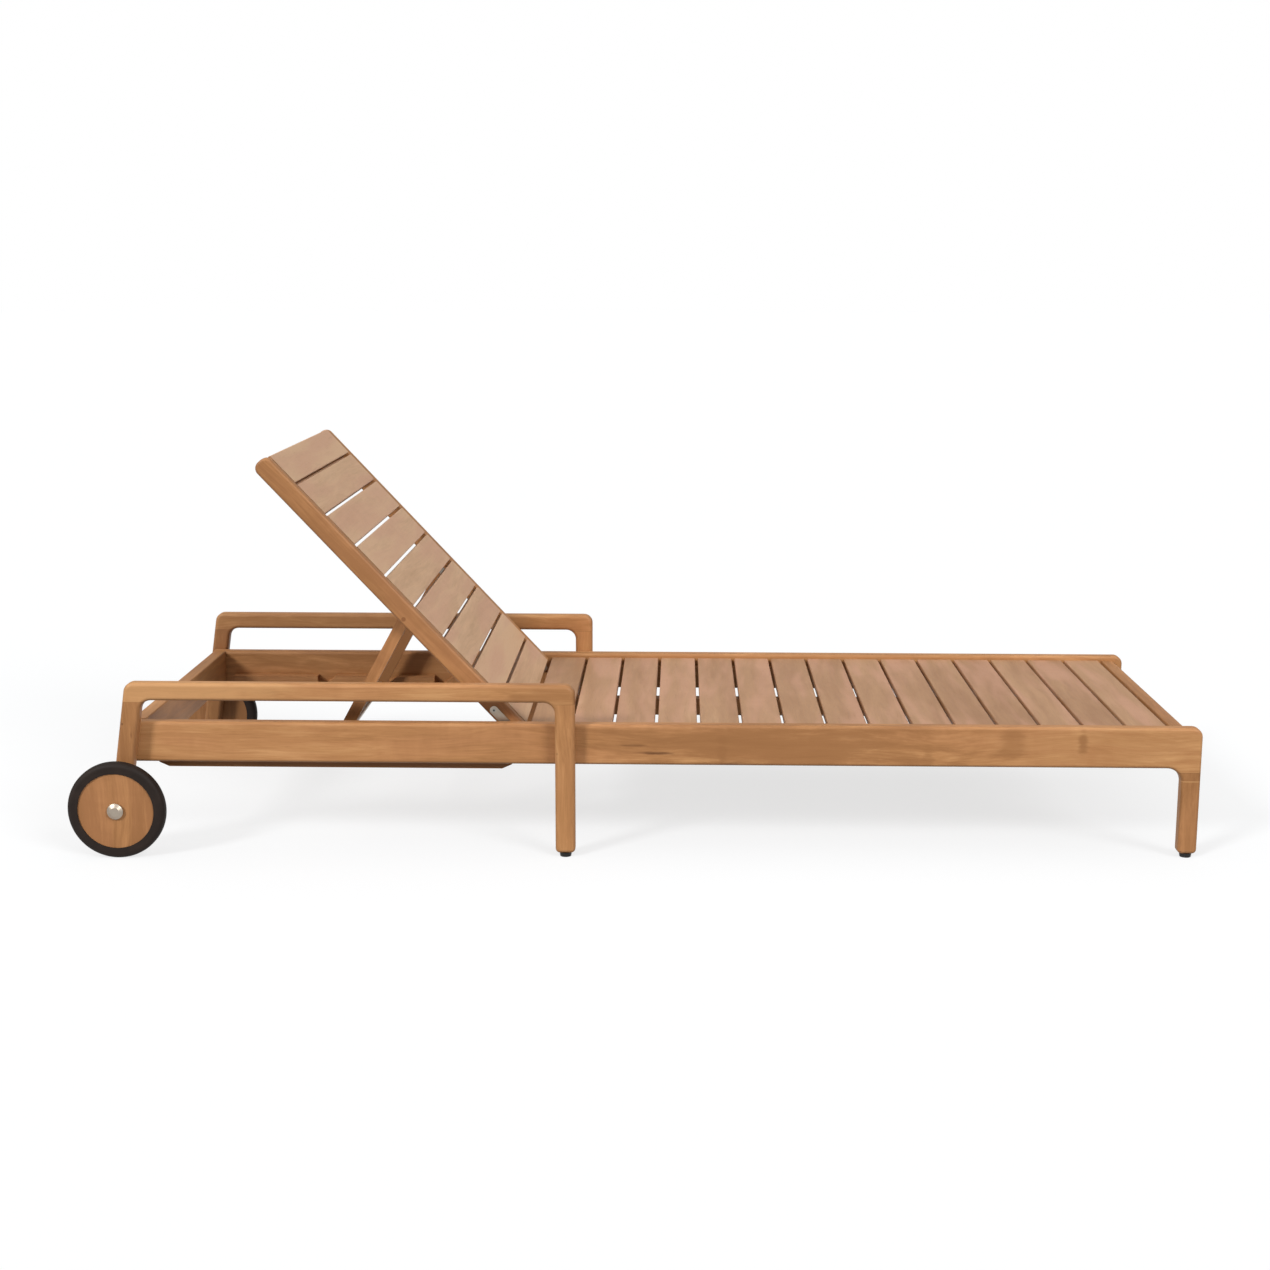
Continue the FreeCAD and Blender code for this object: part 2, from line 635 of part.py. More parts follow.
# Prop: two legs that swing on the pivot bolts, and a steel rod through their lower ends.
leg_half = f"({size('prop_leg_width')} / 2)"
leg_tip_radius = f"({leg_half} - {size('running_gap')})"
rod_x = rod_x_at(RECLINE)
for side in SIDES:
    leg = [
        (f"(-{PROP_LENGTH} - {leg_half})", f"(-{leg_half})"),
        (leg_half, f"(-{leg_half})"),
        (leg_half, leg_half),
        (f"(-{PROP_LENGTH} - {leg_half})", leg_half),
    ]
    blank = board(f"{side}_prop_leg", leg, side_span(side, PROP_INNER, PROP_OUTER),
                  {leg_tip_radius: range(4)}, origin=PIVOT, turn=f"(-{PROP_TILT})")
    drills = [
        side_bar(side, *PIVOT, PROP_INNER, PROP_OUTER, with_gap(size("prop_bolt_radius"))),
        side_bar(side, rod_x, ROD_Z, PROP_INNER, PROP_OUTER, with_gap(size("rod_radius"))),
    ]
    keep(drilled(f"{side}_prop_leg", blank, drills), f"{side}_prop_leg")
rod_half = f"({RACK_INNER} - {size('rod_end_gap')})"
keep(round_bar(rod_x, ROD_Z, f"(-{rod_half})", f"(2 * {rod_half})", size("rod_radius"), "prop_rod"), "prop_rod")

# Wheels, each on a stub axle let into the rear leg.
CAP_INNER = f"({WHEEL_OUTER} + {size('bush_end_gap')})"
axles = []
caps = []
for side in SIDES:
    axles.append(side_bar(side, AXLE_X, AXLE_Z, AXLE_INNER, CAP_INNER, size("axle_radius")))
    way = "-" if side == "right" else ""

    def out(distance, way=way):
        return f"({way}{distance})"

    disc_inner = f"({WHEEL_INNER} + ({size('tyre_width')} - {size('disc_thickness')}) / 2)"
    disc_outer = f"({disc_inner} + {size('disc_thickness')})"
    tyre = [
        (out(WHEEL_INNER), size("disc_radius")),
        (out(WHEEL_OUTER), size("disc_radius")),
        (out(WHEEL_OUTER), size("wheel_radius")),
        (out(WHEEL_INNER), size("wheel_radius")),
    ]
    keep(turned(f"{side}_tyre", tyre, AXLE_X, AXLE_Z, {size("tyre_shoulder"): [2, 3]}), f"{side}_tyre")
    disc = [
        (out(disc_inner), size("bush_radius")),
        (out(disc_outer), size("bush_radius")),
        (out(disc_outer), size("disc_radius")),
        (out(disc_inner), size("disc_radius")),
    ]
    keep(turned(f"{side}_wheel_disc", disc, AXLE_X, AXLE_Z), f"{side}_wheel_disc")
    bush_start = f"({ARM_OUTER} + {size('bush_end_gap')})"
    bush = [
        (out(bush_start), with_gap(size("axle_radius"))),
        (out(WHEEL_OUTER), with_gap(size("axle_radius"))),
        (out(WHEEL_OUTER), size("bush_radius")),
        (out(bush_start), size("bush_radius")),
    ]
    keep(turned(f"{side}_wheel_bush", bush, AXLE_X, AXLE_Z), f"{side}_wheel_bush")
    cap_rim_end = f"({CAP_INNER} + {size('cap_rim')})"
    cap_end = f"({CAP_INNER} + {size('cap_height')})"
    cap = [
        (out(CAP_INNER), "0"),
        (out(cap_end), "0"),
        (out(cap_end), size("cap_flat_radius")),
        (out(cap_rim_end), size("cap_radius")),
        (out(CAP_INNER), size("cap_radius")),
    ]
    caps.append(turned(f"{side}_axle_cap", cap, AXLE_X, AXLE_Z))
keep(grouped("wheel_axles", axles), "wheel_axles")
keep(grouped("axle_caps", caps), "axle_caps")

# Glides under the four legs that stand on the floor.
glides = []
for side in SIDES:
    way = -1 if side == "right" else 1
    rail_middle = f"({way} * ({RAIL_INNER} + {RAIL_OUTER}) / 2)"
    arm_middle = f"({way} * ({RAIL_OUTER} + {ARM_OUTER}) / 2)"
    for x, y in ((f"({FOOT_X} - {size('foot_leg_width')} / 2)", rail_middle), (FRONT_LEG_X, arm_middle)):
        glide = doc.addObject("Part::Cone", "glide")
        tie(glide, Radius1=size("glide_foot_radius"), Radius2=size("glide_radius"), Height=size("glide_height"))
        place(glide, x, y, "0")
        glides.append(glide)
keep(grouped("leg_glides", glides), "leg_glides")

doc.recompute()
for item in doc.Objects:
    if "Invalid" in item.State or "Error" in item.State:
        raise RuntimeError(f"{item.Label} did not build: {item.State}")
for piece in pieces:
    if piece.Shape.isNull() or not piece.Shape.isValid() or not piece.Shape.Solids:
        raise RuntimeError(f"{piece.Label} has no sound shape")

os.makedirs("parts", exist_ok=True)
for piece in pieces:
    piece.Shape.exportStep(f"parts/{piece.Label}.step")
print(f"{len(pieces)} pieces written")
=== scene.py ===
import json
import math

import bpy
from mathutils import Matrix, Vector


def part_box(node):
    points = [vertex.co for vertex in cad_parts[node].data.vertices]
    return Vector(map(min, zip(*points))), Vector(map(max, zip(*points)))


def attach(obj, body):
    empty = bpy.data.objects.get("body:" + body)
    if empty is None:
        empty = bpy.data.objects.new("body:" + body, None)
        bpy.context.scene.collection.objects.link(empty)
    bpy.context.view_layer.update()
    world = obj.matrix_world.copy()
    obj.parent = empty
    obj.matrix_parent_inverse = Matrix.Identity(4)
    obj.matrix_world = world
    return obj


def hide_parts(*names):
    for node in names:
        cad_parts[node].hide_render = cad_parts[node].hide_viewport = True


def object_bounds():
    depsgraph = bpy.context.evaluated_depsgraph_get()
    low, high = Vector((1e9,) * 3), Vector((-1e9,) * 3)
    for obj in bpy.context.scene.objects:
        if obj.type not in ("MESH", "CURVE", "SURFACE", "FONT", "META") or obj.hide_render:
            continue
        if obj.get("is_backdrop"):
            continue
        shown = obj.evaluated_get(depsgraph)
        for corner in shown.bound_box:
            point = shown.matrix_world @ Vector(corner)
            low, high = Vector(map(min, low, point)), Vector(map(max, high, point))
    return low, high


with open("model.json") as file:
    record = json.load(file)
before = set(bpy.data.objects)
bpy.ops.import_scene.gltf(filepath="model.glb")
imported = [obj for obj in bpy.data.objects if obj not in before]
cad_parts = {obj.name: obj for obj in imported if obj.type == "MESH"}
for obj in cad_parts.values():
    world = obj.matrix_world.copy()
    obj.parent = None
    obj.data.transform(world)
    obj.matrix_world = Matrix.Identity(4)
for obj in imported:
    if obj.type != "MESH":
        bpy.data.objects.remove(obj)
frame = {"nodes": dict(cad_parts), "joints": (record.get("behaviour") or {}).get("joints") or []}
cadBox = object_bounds()
nodes = frame["nodes"]
joints = {joint["name"]: joint for joint in frame["joints"]}
hinge = Vector(joints["backrest_recline"]["pos_m"])
pivot = Vector(joints["prop_swing"]["pos_m"])
recline = -math.radians(joints["backrest_recline"]["range_deg"][0])   # the back is flat at its lower limit
quarter = math.pi / 2
print("frame loaded:", len(nodes), "nodes")


# node building

class Wire:  # a socket that takes part in sums
    def __init__(self, bench, socket):
        self.bench, self.socket = bench, socket

    def sum(self, operation, *others):
        return self.bench.add("ShaderNodeMath", {"operation": operation}, dict(enumerate((self, *others))))

    def flipped(self, operation, other):
        return self.bench.add("ShaderNodeMath", {"operation": operation}, {0: other, 1: self})

    def __add__(self, other):
        return self.sum("ADD", other)

    def __sub__(self, other):
        return self.sum("SUBTRACT", other)

    def __mul__(self, other):
        return self.sum("MULTIPLY", other)

    def __truediv__(self, other):
        return self.sum("DIVIDE", other)

    def __rsub__(self, other):
        return self.flipped("SUBTRACT", other)

    __radd__ = __add__
    __rmul__ = __mul__


class Bench:  # adds nodes to one tree
    def __init__(self, tree):
        self.tree = tree

    def add(self, kind, settings=None, sockets=None, out=0):
        node = self.tree.nodes.new(kind)
        for key, setting in (settings or {}).items():
            if key == "stops":
                ramp = node.color_ramp.elements
                while len(ramp) < len(setting):
                    ramp.new(1.0)
                for stop, (place, colour) in zip(ramp, setting):
                    stop.position, stop.color = place, colour
            else:
                setattr(node, key, setting)
        for key, value in (sockets or {}).items():
            if isinstance(value, Wire):
                self.tree.links.new(value.socket, node.inputs[key])
            else:
                node.inputs[key].default_value = value
        return Wire(self, node.outputs[out]) if len(node.outputs) else None

    def other(self, wire, out):  # another output of the same node
        return Wire(self, wire.socket.node.outputs[out])

    def vectors(self, operation, first, second, out="Vector"):
        return self.add("ShaderNodeVectorMath", {"operation": operation}, {0: first, 1: second}, out)

    def axis(self, vector, name):  # its X, Y or Z
        return self.add("ShaderNodeSeparateXYZ", None, {0: vector}, name)

    def rise(self, value, low, high):  # 0 below low, 1 above high
        return self.add("ShaderNodeMapRange", {"clamp": True, "interpolation_type": "SMOOTHSTEP"},
                        {"Value": value, "From Min": low, "From Max": high})

    def blend(self, share, first, second):  # mixes two colours
        return self.add("ShaderNodeMix", {"data_type": "RGBA"}, {0: share, 6: first, 7: second}, out=2)

    def noise(self, place, stretch, detail=3.0, rough=0.55, out=0):
        return self.add("ShaderNodeTexNoise", None,
                        {"Vector": self.vectors("MULTIPLY", place, stretch), "Scale": 1.0, "Detail": detail,
                         "Roughness": rough}, out)

    def place(self):  # where on the object, in metres
        return self.add("ShaderNodeTexCoord", None, None, "Object")

    def bump(self, strength, depth, height):
        return self.add("ShaderNodeBump", None, {"Strength": strength, "Distance": depth, "Height": height})


def fromScreen(red, green, blue):  # 0-255 screen colour to linear
    def linear(part):
        part = part / 255
        return part / 12.92 if part <= 0.04045 else ((part + 0.055) / 1.055) ** 2.4
    return linear(red), linear(green), linear(blue), 1.0


def newMaterial(name):
    material = bpy.data.materials.new(name)
    material.use_nodes = True
    material.node_tree.nodes.clear()
    return material, Bench(material.node_tree)


def finishMaterial(bench, surface):
    bench.add("ShaderNodeOutputMaterial", None, {"Surface": surface})


# oiled teak

teakLook = {
    "pale": fromScreen(210, 161, 109),
    "middle": fromScreen(181, 129, 82),
    "deep": fromScreen(149, 102, 61),
    "rosy": fromScreen(190, 132, 91),
    "streak": fromScreen(92, 56, 30),
    "endGrain": fromScreen(140, 91, 54),
    "ringSpacing": 0.011,    # metres between growth rings
    "pithDepth": 0.07,       # how far below a face the tree's centre ran
    "rosyShare": 0.25,
    "contrast": 1.0,
    "roughness": 0.5,
    "shine": 0.3,
    "poreDepth": 0.00014,
}
slatLook = {   # the slats are sanded paler
    **teakLook,
    "pale": fromScreen(215, 177, 141),
    "middle": fromScreen(181, 141, 106),
    "deep": fromScreen(158, 118, 86),
    "rosy": fromScreen(202, 153, 127),
    "endGrain": fromScreen(150, 108, 72),
    "rosyShare": 0.5,
    "contrast": 0.72,
    "shine": 0.25,
    "sideHeight": 0.0055,    # how far from its middle a slat's side reaches
    "sideFade": 0.001,
    "sideShare": 0.5,        # how much of the boards' deep colour is painted on the sides, as shade in the gaps between slats
    "endFade": (-0.0006, -0.0001),
}
grainLayers = {   # waves per metre along and across the grain, then the noise's detail and roughness
    "sway": (2.4, 8.0, 2.0, 0.55),
    "broad": (1.6, 17.0, 3.0, 0.55),
    "blotch": (8.0, 52.0, 4.0, 0.65),
    "fibre": (9.0, 290.0, 4.0, 0.62),
    "tint": (3.0, 22.0, 2.0, 0.55),
    "figure": (44.0, 7.0, 2.0, 0.55),
    "pores": (42.0, 1200.0, 2.0, 0.5),
    "dark": (5.0, 120.0, 3.0, 0.6),
}
grainLevels = {   # where each mask starts and where it is full
    "ring": (0.3, 0.95), "patch": (0.46, 0.62), "pore": (0.6, 0.74), "rosy": (0.4, 0.66),
    "streak": (0.62, 0.78), "streakArea": (0.48, 0.6), "mark": (0.3, 1.0), "end": (0.8, 0.97),
    "underside": (0.15, 0.85),
}
grainShares = {   # how much each one tells in the colour
    "broad": 0.95, "blotch": 0.6, "fibre": 0.6, "figure": 0.35, "rings": 0.048, "ringsInPatch": -0.04,
    "streak": 0.2, "pore": 0.13, "end": 0.75, "underside": 0.55,
}
grainWander = {"sway": 0.05, "ring": 1.4, "mark": 2.0}   # how far noise bends the grain, rings and marks
grainRoughness = {"fibre": 0.2, "pore": 0.1, "end": 0.15}
grainRelief = {"strength": 0.3, "fibre": 0.5, "ring": 0.1, "pore": -0.8}
toneStops = {"deep": 0.08, "middle": 0.45, "pale": 0.88}
jointLook = {   # the line between two boards, and the darker band of a tenon with a pale line along its lower edge, a painted highlight, in metres
    "line": (0.0002, 0.0012), "lineShare": 0.2, "bandLineShare": 0.4,
    "bandFade": 0.0006, "bandShare": 0.42, "edge": (0.0004, 0.0016), "edgeShare": 0.5,
}


def teakPattern(bench, look, board, tone, endMask, place=None, marks=()):
    # board is a vector whose x runs along the grain, in metres
    def layer(name, vector, out=0):
        along, across, detail, rough = grainLayers[name]
        return bench.noise(vector, (along, across, across), detail, rough, out)

    def mask(name, value):
        return bench.rise(value, *grainLevels[name])

    wander = grainWander["sway"]
    flow = bench.add("ShaderNodeVectorMath", {"operation": "MULTIPLY_ADD"},
                     {0: layer("sway", board, "Color"), 1: (0.0, wander, wander), 2: board})
    broad, blotch, fibre = (layer(name, flow) for name in ("broad", "blotch", "fibre"))
    tint, dark = (layer(name, flow) for name in ("tint", "dark"))
    figure, pores = (layer(name, board) for name in ("figure", "pores"))

    ringY = bench.axis(flow, "Y")
    ringZ = bench.axis(flow, "Z") + look["pithDepth"]
    radius = (ringY * ringY + ringZ * ringZ).sum("SQRT")
    rings = mask("ring", (radius / look["ringSpacing"] + blotch * grainWander["ring"]).sum("FRACT"))
    patchy = mask("patch", tint)
    poreMask = mask("pore", pores)
    streakMask = mask("streak", dark) * mask("streakArea", broad)

    grain = (figure - 0.5) * patchy * grainShares["figure"]
    for name, noise in (("broad", broad), ("blotch", blotch), ("fibre", fibre)):
        grain = grain + (noise - 0.5) * grainShares[name]
    grain = grain - rings * (patchy * grainShares["ringsInPatch"] + grainShares["rings"])
    colour = bench.add("ShaderNodeValToRGB",
                       {"stops": [(level, look[name]) for name, level in toneStops.items()]},
                       {"Fac": grain * look["contrast"] + tone})
    colour = bench.blend(mask("rosy", tint) * look["rosyShare"], colour, look["rosy"])
    streaks = streakMask * grainShares["streak"] + poreMask * grainShares["pore"]
    colour = bench.blend(streaks, colour, look["streak"])
    for centre, reach, shade, strength in marks:
        offset = bench.vectors("DIVIDE", bench.vectors("SUBTRACT", place, centre), reach)
        away = bench.add("ShaderNodeVectorMath", {"operation": "LENGTH"}, {0: offset}, "Value")
        markMask = 1 - mask("mark", away + (blotch - 0.5) * grainWander["mark"])
        colour = bench.blend(markMask * strength, colour, look[shade])
    colour = bench.blend(endMask * grainShares["end"], colour, look["endGrain"])
    roughness = (look["roughness"] + (fibre - 0.5) * grainRoughness["fibre"]
                 + poreMask * grainRoughness["pore"] + endMask * grainRoughness["end"])
    height = fibre * grainRelief["fibre"] + rings * grainRelief["ring"] + poreMask * grainRelief["pore"]
    return colour, roughness, bench.bump(grainRelief["strength"], look["poreDepth"], height)


def teakSurface(bench, look, colour, roughness, bump):
    finishMaterial(bench, bench.add("ShaderNodeBsdfPrincipled", None,
                                    {"Base Color": colour, "Roughness": roughness, "Normal": bump,
                                     "Specular IOR Level": look["shine"]}))


def showJoint(bench, colour, height, joint, band):
    if band:
        lower = joint - band
        fade = jointLook["bandFade"]
        inBand = bench.rise(height, lower - fade, lower + fade)
        colour = bench.blend(inBand * jointLook["bandShare"], colour, teakLook["deep"])
        # a pale line along the band's lower edge: painted highlight
        edge = 1 - bench.rise((height - lower).sum("ABSOLUTE"), *jointLook["edge"])
        colour = bench.blend(edge * jointLook["edgeShare"], colour, teakLook["pale"])
    line = 1 - bench.rise((height - joint).sum("ABSOLUTE"), *jointLook["line"])
    share = jointLook["bandLineShare"] if band else jointLook["lineShare"]
    return bench.blend(line * share, colour, teakLook["streak"])


def teakBoard(name, turn, shift, tone, joint, band, marks):
    material, bench = newMaterial(name)
    place = bench.place()
    facing = bench.other(place, "Normal")
    board = bench.add("ShaderNodeMapping", {"vector_type": "POINT"},
                      {"Vector": place, "Rotation": turn, "Location": shift})
    boardFacing = bench.add("ShaderNodeMapping", {"vector_type": "POINT"},
                            {"Vector": facing, "Rotation": turn})
    endMask = bench.rise(bench.axis(boardFacing, "X").sum("ABSOLUTE"), *grainLevels["end"])
    colour, roughness, bump = teakPattern(bench, teakLook, board, tone, endMask, place, marks)
    # faces that look down are darkened towards the deep colour: painted shade
    underside = bench.rise(bench.axis(facing, "Z") * -1, *grainLevels["underside"])
    colour = bench.blend(underside * grainShares["underside"], colour, teakLook["deep"])
    if joint:
        colour = showJoint(bench, colour, bench.axis(place, "Z"), joint, band)
    teakSurface(bench, teakLook, colour, roughness, bump)
    return material


def slatTeak(name):  # reads each slat's own space, shift, tone and reach
    material, bench = newMaterial(name)
    space, shift = (bench.add("ShaderNodeAttribute", {"attribute_name": label}, None, "Vector")
                    for label in ("boardSpace", "boardShift"))
    tone, reach = (bench.add("ShaderNodeAttribute", {"attribute_name": label}, None, "Fac")
                   for label in ("boardTone", "boardReach"))
    endMask = bench.rise(bench.axis(space, "X").sum("ABSOLUTE") - reach, *slatLook["endFade"])
    board = bench.vectors("ADD", space, shift)
    colour, roughness, bump = teakPattern(bench, slatLook, board, tone, endMask)
    reachUp, fade = slatLook["sideHeight"], slatLook["sideFade"]
    # the slats' sides are darkened: painted shade in the gaps between them
    sideShadeMask = 1 - bench.rise(bench.axis(space, "Z").sum("ABSOLUTE"), reachUp - fade, reachUp + fade)
    colour = bench.blend(sideShadeMask * slatLook["sideShare"], colour, teakLook["deep"])
    teakSurface(bench, slatLook, colour, roughness, bump)
    return material


# satin steel

steelLook = {"base": fromScreen(185, 173, 158), "shade": fromScreen(150, 138, 124), "roughness": 0.42}
# the recess colour is painted shade inside each screw's driver recess
screwLook = {"base": fromScreen(176, 168, 157), "shade": fromScreen(140, 133, 124), "roughness": 0.32,
             "recess": fromScreen(52, 50, 50), "recessRadius": 0.0019, "recessFade": 0.0003}
steelGrain = {   # lines and smudge in waves per metre
    "lines": (900.0, 120.0, 900.0), "smudge": (90.0, 90.0, 90.0), "smudgeDetail": 2.0,
    "lineShare": 0.5, "smudgeShare": 0.4, "smudgeRoughness": 0.15, "relief": 0.1, "depth": 0.00008,
}
screwReach = (0.0674, 0.0274)   # from the hinge along the back to each strap screw
strapScrews = [(hinge.x - along * math.cos(recline), hinge.z + along * math.sin(recline))
               for along in screwReach]


def satinSteel(name, look, screws):
    material, bench = newMaterial(name)
    place = bench.place()
    lines = bench.noise(place, steelGrain["lines"])
    smudge = bench.noise(place, steelGrain["smudge"], steelGrain["smudgeDetail"])
    shaded = lines * steelGrain["lineShare"] + smudge * steelGrain["smudgeShare"]
    colour = bench.blend(shaded, look["base"], look["shade"])
    metal = 1.0
    for x, z in screws:   # the driver recess in the middle of each head is painted as a dark, non-metal disc: painted shade
        radius, fade = look["recessRadius"], look["recessFade"]
        away = bench.vectors("DISTANCE", bench.vectors("MULTIPLY", place, (1, 0, 1)), (x, 0, z), "Value")
        recess = 1 - bench.rise(away, radius - fade, radius + fade)
        colour = bench.blend(recess, colour, look["recess"])
        metal = metal - recess
    bump = bench.bump(steelGrain["relief"], steelGrain["depth"], lines)
    surface = bench.add("ShaderNodeBsdfPrincipled", None,
                        {"Base Color": colour, "Metallic": metal, "Normal": bump,
                         "Roughness": look["roughness"] + (smudge - 0.5) * steelGrain["smudgeRoughness"]})
    finishMaterial(bench, surface)
    return material


# rubber and moulded plastic

tyreLook = {"base": fromScreen(31, 22, 17), "worn": fromScreen(46, 35, 29), "roughness": 0.62,
            "grain": 1400.0, "shine": 0.22}
plasticLook = {"base": fromScreen(24, 22, 21), "worn": fromScreen(40, 37, 35), "roughness": 0.5,
               "grain": 2600.0, "shine": 0.3}
wear = {"cloud": 22.0, "cloudDetail": 4.0, "levels": (0.42, 0.7), "share": 0.7, "roughness": 0.08,
        "grainRoughness": 0.2, "relief": 0.2, "depth": 0.0002}


def mouldedBlack(name, look):
    material, bench = newMaterial(name)
    place = bench.place()
    grain = bench.noise(place, (look["grain"],) * 3)
    worn = bench.rise(bench.noise(place, (wear["cloud"],) * 3, wear["cloudDetail"]), *wear["levels"])
    colour = bench.blend(worn * wear["share"], look["base"], look["worn"])
    roughness = look["roughness"] + (grain - 0.5) * wear["grainRoughness"] + worn * wear["roughness"]
    surface = bench.add("ShaderNodeBsdfPrincipled", None,
                        {"Base Color": colour, "Normal": bench.bump(wear["relief"], wear["depth"], grain),
                         "Roughness": roughness, "Specular IOR Level": look["shine"]})
    finishMaterial(bench, surface)
    return material


steel = satinSteel("satinSteel", steelLook, [])
screwSteel = satinSteel("screwSteel", screwLook, strapScrews)
tyreRubber = mouldedBlack("tyreRubber", tyreLook)
glidePlastic = mouldedBlack("glidePlastic", plasticLook)
print("plain finishes made")


# boards that keep their solids

rodLow, rodHigh = (Vector(corner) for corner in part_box("prop_rod"))
propReach = pivot - (rodLow + rodHigh) / 2
propTilt = math.atan2(propReach.z, propReach.x)
alongX, alongY, alongZ = (0, 0, 0), (0, 0, -quarter), (0, quarter, 0)
boards = {   # grain turn and tone
    "side_rail": (alongX, 0.5),
    "foot_leg": (alongZ, 0.25),
    "arm_rail": (alongX, 0.52),
    "arm_front_leg": (alongZ, 0.42),
    "arm_rear_leg": (alongZ, 0.1),
    # the racks' low tone is painted shade: they sit in the rails' shade
    "notch_rack": (alongX, 0.14),
    "back_stile": ((0, math.pi - recline, 0), 0.26),
    "prop_leg": ((0, math.pi + propTilt, 0), 0.12),
    "wheel_disc": (alongZ, 0.13),
    "head_crossbar": (alongY, 0.4),
    "mid_crossbar": (alongY, 0.4),
    "foot_end_bar": (alongY, 0.2),
    "seat_centre_bearer": (alongX, 0.35),
    "slat_cleats": (alongX, 0.35),
    "arm_leg_dowels": (alongY, 0.3),
    "pivot_plugs": (alongY, 0.2),
}
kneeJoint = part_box("right_foot_leg")[1][2]
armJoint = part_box("right_arm_front_leg")[1][2]
boardJoints = {   # height of a joint and depth of the band below it
    "side_rail": (kneeJoint, 0.0),
    "foot_leg": (kneeJoint, 0.016),
    "arm_rail": (armJoint, 0.0),
    "arm_front_leg": (armJoint, 0.0),
    "arm_rear_leg": (armJoint, 0.0),
}
railFace, farRailFace, armFace, farArmFace = (
    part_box(name)[0][1] for name in ("right_side_rail", "left_side_rail", "right_arm_rail", "left_arm_rail"))
plugFaces = [corner[1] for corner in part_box("pivot_plugs")]
boardMarks = {   # where a few figures in the wood are, and painted shade on the far rail and arm, how far they reach, their shade and strength
    "right_side_rail": [
        ((0.250, railFace, 0.200), (0.400, 0.05, 0.090), "deep", 0.75),
        ((0.800, railFace, 0.200), (0.300, 0.05, 0.090), "deep", 0.22),
        ((0.046, railFace, 0.185), (0.050, 0.02, 0.005), "streak", 0.8),
        ((0.000, railFace, 0.199), (0.030, 0.02, 0.003), "streak", 0.45),
        ((0.156, railFace, 0.186), (0.012, 0.02, 0.040), "deep", 0.6),
        ((0.176, railFace, 0.166), (0.030, 0.02, 0.007), "streak", 0.5),
        ((0.518, railFace, 0.180), (0.014, 0.02, 0.034), "deep", 0.45),
        ((0.665, railFace, 0.205), (0.030, 0.02, 0.040), "deep", 0.45),
        ((0.788, railFace, 0.212), (0.013, 0.02, 0.030), "deep", 0.8),
    ],
    # the far rail and far arm are darkened along their whole faces: painted shade of the near parts
    "left_side_rail": [((0.050, farRailFace, 0.205), (1.400, 0.03, 0.120), "deep", 0.6)],
    "left_arm_rail": [((-0.500, farArmFace, 0.295), (0.600, 0.02, 0.080), "deep", 0.4)],
    "right_arm_rail": [
        ((-0.800, armFace, 0.297), (0.220, 0.05, 0.060), "pale", 0.5),
        ((-0.140, armFace, 0.290), (0.130, 0.05, 0.060), "deep", 0.5),
        ((-0.205, armFace, 0.290), (0.020, 0.02, 0.014), "deep", 0.35),
    ],
    "right_arm_rear_leg": [
        ((-0.899, armFace, 0.238), (0.003, 0.02, 0.003), "streak", 0.7),
        ((-0.884, armFace, 0.218), (0.003, 0.02, 0.010), "streak", 0.4),
    ],
    "right_arm_front_leg": [((-0.134, armFace, 0.189), (0.003, 0.02, 0.003), "streak", 0.35)],
    "pivot_plugs": [((pivot.x, face, pivot.z), (0.012, 0.012, 0.012), "streak", 0.6) for face in plugFaces],
}
boardSteps = ((1.37, 5.0, 1.0), (0.731, 3.0, 0.4), (0.517, 2.0, 0.03))   # step, wrap and scale of a shift
boardCount = 0
for nodeName in sorted(nodes):
    kind = nodeName.replace("left_", "").replace("right_", "")
    if kind not in boards:
        continue
    boardCount += 1
    turn, tone = boards[kind]
    joint, band = boardJoints.get(kind, (None, None))
    shift = [boardCount * step % wrap * scale for step, wrap, scale in boardSteps]
    marks = boardMarks.get(nodeName, [])
    nodes[nodeName].data.materials[0] = teakBoard("teak." + nodeName, turn, shift, tone, joint, band, marks)
for nodeName in ("axle_caps", "wheel_axles", "hinge_pins", "hinge_straps", "prop_rod"):
    nodes[nodeName].data.materials[0] = steel
nodes["backrest_fasteners"].data.materials[0] = screwSteel
for side in ("left", "right"):
    nodes[side + "_tyre"].data.materials[0] = tyreRubber
    nodes[side + "_wheel_bush"].data.materials[0] = glidePlastic
nodes["leg_glides"].data.materials[0] = glidePlastic
print("boards and fittings finished:", boardCount, "boards")


# pieces grown by trees

class Tree(Bench):  # a geometry tree with named inputs
    def __init__(self, name, inputs):
        super().__init__(bpy.data.node_groups.new(name, "GeometryNodeTree"))
        self.tree.interface.new_socket("Geometry", in_out="OUTPUT", socket_type="NodeSocketGeometry")
        for label, kind in inputs.items():
            self.tree.interface.new_socket(label, in_out="INPUT", socket_type="NodeSocket" + kind)
        entry = self.tree.nodes.new("NodeGroupInput")
        self.given = {socket.name: Wire(self, socket) for socket in entry.outputs if socket.name}

    def vector(self, x, y, z):
        return self.add("ShaderNodeCombineXYZ", None, {0: x, 1: y, 2: z})

    def isNumber(self, index, number):
        return self.add("FunctionNodeCompare", {"data_type": "INT", "operation": "EQUAL"},
                        {2: index, 3: number})

    def store(self, geometry, name, value, kind, domain):
        return self.add("GeometryNodeStoreNamedAttribute", {"data_type": kind, "domain": domain},
                        {"Geometry": geometry, "Name": name, "Value": value})

    def close(self, geometry):
        real = self.add("GeometryNodeRealizeInstances", None, {"Geometry": geometry})
        finished = self.add("GeometryNodeSetMaterial", None,
                            {"Geometry": real, "Material": self.given["Finish"]})
        self.add("NodeGroupOutput", None, {0: finished})


